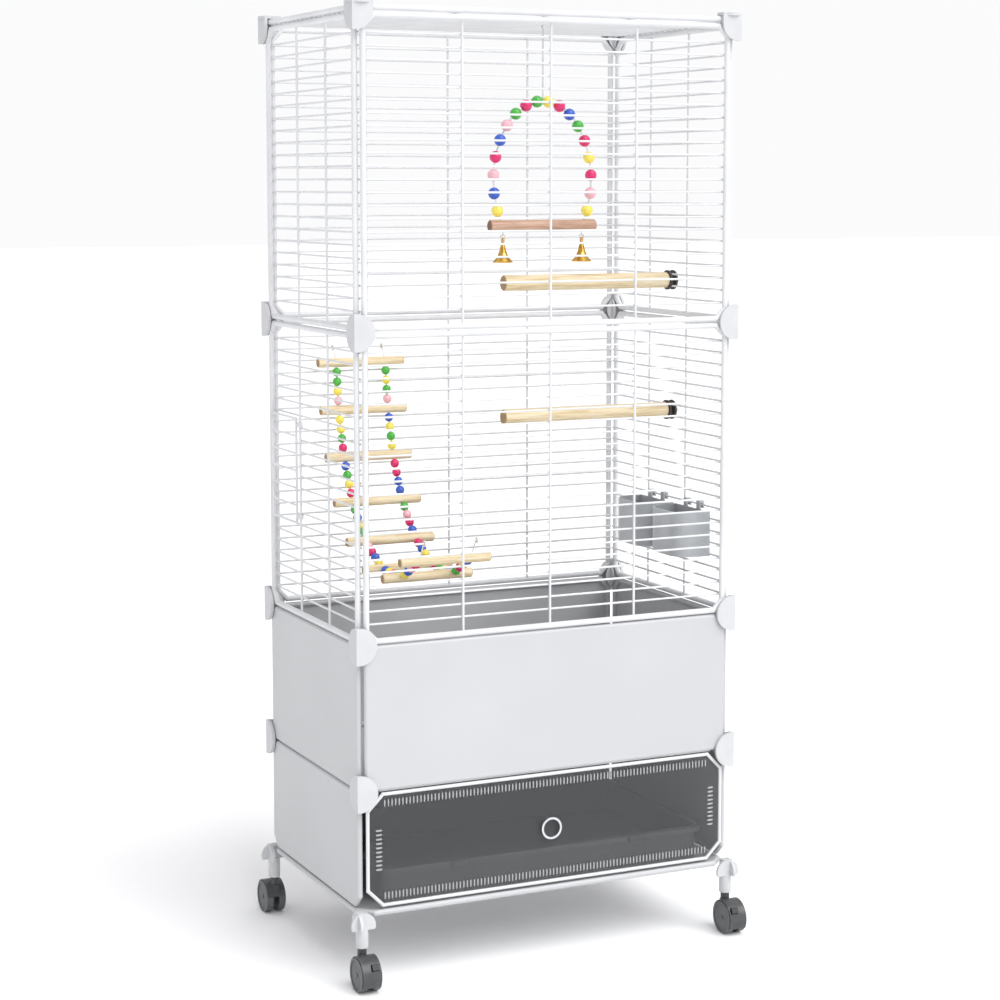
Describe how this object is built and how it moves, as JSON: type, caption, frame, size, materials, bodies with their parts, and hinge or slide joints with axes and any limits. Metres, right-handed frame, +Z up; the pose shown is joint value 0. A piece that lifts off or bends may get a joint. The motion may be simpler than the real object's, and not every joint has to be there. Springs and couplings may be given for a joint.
{
  "type": "bird cage on stand",
  "caption": "Tall wire-panel bird cage on casters with a solid litter tier, a smoked storage drawer, and a beaded swing, ladder, perches and cups inside.",
  "frame": {"origin": "centre of the footprint, on the floor under the casters", "axes": "+Z up, -Y out of the front with the drawer, +X to the right seen from the front"},
  "size_m": [0.5224, 0.3719, 1.1419],
  "materials": {
    "powder_coat": "satin powder coat",
    "litter_sheet": "smooth semi-gloss",
    "connector_plastic": "fine matte",
    "caster_plastic": "dark, lightly glossy",
    "wheel_plastic": "dark grey",
    "brake_plastic": "black",
    "smoked_sheet": "smoked, clear",
    "tray_plastic": "dark grey satin",
    "bright_metal": "bright",
    "dark_rubber": "matte",
    "pale_wood": "sanded, bare",
    "pink_wood": "sanded, bare",
    "painted_bead": "gloss paint in several colours",
    "bell_brass": "polished",
    "cord": "twisted cord",
    "cup_plastic": "satin"
  },
  "bodies": {
    "cage": {"top_panel": "powder_coat", "upper_front_panel": "powder_coat", "upper_back_panel": "powder_coat", "upper_left_panel": "powder_coat", "upper_right_panel": "powder_coat", "lower_front_panel": "powder_coat", "lower_back_panel": "powder_coat", "lower_left_panel": "powder_coat", "lower_right_panel": "powder_coat", "litter_front_panel": "litter_sheet", "litter_back_panel": "litter_sheet", "litter_left_panel": "litter_sheet", "litter_right_panel": "litter_sheet", "litter_floor": "litter_sheet", "storage_left_panel": "litter_sheet", "storage_right_panel": "litter_sheet", "storage_back_panel": "litter_sheet", "storage_floor": "litter_sheet", "top_connectors": "connector_plastic", "upper_connectors": "connector_plastic", "middle_connectors": "connector_plastic", "lower_connectors": "connector_plastic", "front_left_foot": "connector_plastic", "front_right_foot": "connector_plastic", "back_left_foot": "connector_plastic", "back_right_foot": "connector_plastic", "upper_perch": "pale_wood", "lower_perch": "pale_wood", "perch_bolts": "bright_metal", "perch_washers": "dark_rubber"},
    "front_left_swivel": {"front_left_hood": "caster_plastic"},
    "front_left_wheel_pair": {"front_left_wheels": "wheel_plastic"},
    "front_right_swivel": {"front_right_hood": "caster_plastic"},
    "front_right_wheel_pair": {"front_right_wheels": "wheel_plastic"},
    "back_left_swivel": {"back_left_hood": "caster_plastic"},
    "back_left_wheel_pair": {"back_left_wheels": "wheel_plastic"},
    "back_right_swivel": {"back_right_hood": "caster_plastic"},
    "back_right_wheel_pair": {"back_right_wheels": "wheel_plastic"},
    "left_brake": {"left_brake": "brake_plastic"},
    "right_brake": {"right_brake": "brake_plastic"},
    "drawer": {"drawer_frame": "powder_coat", "drawer_sheet": "smoked_sheet", "drawer_tray": "tray_plastic", "drawer_clips": "tray_plastic", "ring_pull": "bright_metal"},
    "side_door": {"side_door": "powder_coat"},
    "swing": {"swing_wire": "bright_metal", "swing_beads": "painted_bead", "swing_perch": "pink_wood"},
    "left_bell": {"left_bell": "bell_brass"},
    "right_bell": {"right_bell": "bell_brass"},
    "ladder": {"ladder_rungs": "pale_wood", "ladder_beads": "painted_bead", "ladder_cords": "cord"},
    "front_cup": {"front_cup": "cup_plastic"},
    "rear_cup": {"rear_cup": "cup_plastic"}
  },
  "joints": [
    {"name": "front_left_swivel", "type": "hinge", "parent": "cage", "child": "front_left_swivel", "pos_m": [-0.2462, -0.1517, 0.05], "axis": [0, 0, 1], "continuous": true},
    {"name": "front_left_roll", "type": "hinge", "parent": "front_left_swivel", "child": "front_left_wheel_pair", "pos_m": [-0.2462, -0.1637, 0.02], "axis": [1, 0, 0], "continuous": true},
    {"name": "front_right_swivel", "type": "hinge", "parent": "cage", "child": "front_right_swivel", "pos_m": [0.2462, -0.1517, 0.05], "axis": [0, 0, 1], "continuous": true},
    {"name": "front_right_roll", "type": "hinge", "parent": "front_right_swivel", "child": "front_right_wheel_pair", "pos_m": [0.2462, -0.1637, 0.02], "axis": [1, 0, 0], "continuous": true},
    {"name": "back_left_swivel", "type": "hinge", "parent": "cage", "child": "back_left_swivel", "pos_m": [-0.2462, 0.1517, 0.05], "axis": [0, 0, 1], "continuous": true},
    {"name": "back_left_roll", "type": "hinge", "parent": "back_left_swivel", "child": "back_left_wheel_pair", "pos_m": [-0.2462, 0.1637, 0.02], "axis": [1, 0, 0], "continuous": true},
    {"name": "back_right_swivel", "type": "hinge", "parent": "cage", "child": "back_right_swivel", "pos_m": [0.2462, 0.1517, 0.05], "axis": [0, 0, 1], "continuous": true},
    {"name": "back_right_roll", "type": "hinge", "parent": "back_right_swivel", "child": "back_right_wheel_pair", "pos_m": [0.2462, 0.1637, 0.02], "axis": [1, 0, 0], "continuous": true},
    {"name": "left_brake_press", "type": "hinge", "parent": "front_left_swivel", "child": "left_brake", "pos_m": [-0.2462, -0.1836, 0.02945], "axis": [1, 0, 0], "range_deg": [0, 15]},
    {"name": "right_brake_press", "type": "hinge", "parent": "front_right_swivel", "child": "right_brake", "pos_m": [0.2462, -0.1836, 0.02945], "axis": [1, 0, 0], "range_deg": [0, 15]},
    {"name": "drawer_slide", "type": "slide", "parent": "cage", "child": "drawer", "axis": [0, -1, 0], "range_m": [0, 0.23]},
    {"name": "side_door_swing", "type": "hinge", "parent": "cage", "child": "side_door", "pos_m": [-0.2432, 0.0477, 0.5869], "axis": [0, 0, 1], "range_deg": [0, 110]},
    {"name": "swing_rock", "type": "hinge", "parent": "cage", "child": "swing", "pos_m": [0.059, -0.0075, 1.1306], "axis": [1, 0, 0], "range_deg": [-20, 20]},
    {"name": "left_bell_swing", "type": "hinge", "parent": "swing", "child": "left_bell", "pos_m": [0.00401, -0.0075, 0.86834], "axis": [1, 0, 0], "range_deg": [-25, 25]},
    {"name": "right_bell_swing", "type": "hinge", "parent": "swing", "child": "right_bell", "pos_m": [0.11399, -0.0075, 0.86834], "axis": [1, 0, 0], "range_deg": [-25, 25]},
    {"name": "ladder_shift", "type": "slide", "parent": "cage", "child": "ladder", "axis": [1, 0, 0], "range_m": [-0.01, 0.01]},
    {"name": "front_cup_lift", "type": "slide", "parent": "cage", "child": "front_cup", "axis": [0, 0, 1], "range_m": [0, 0.008]},
    {"name": "rear_cup_lift", "type": "slide", "parent": "cage", "child": "rear_cup", "axis": [0, 0, 1], "range_m": [0, 0.008]}
  ]
}
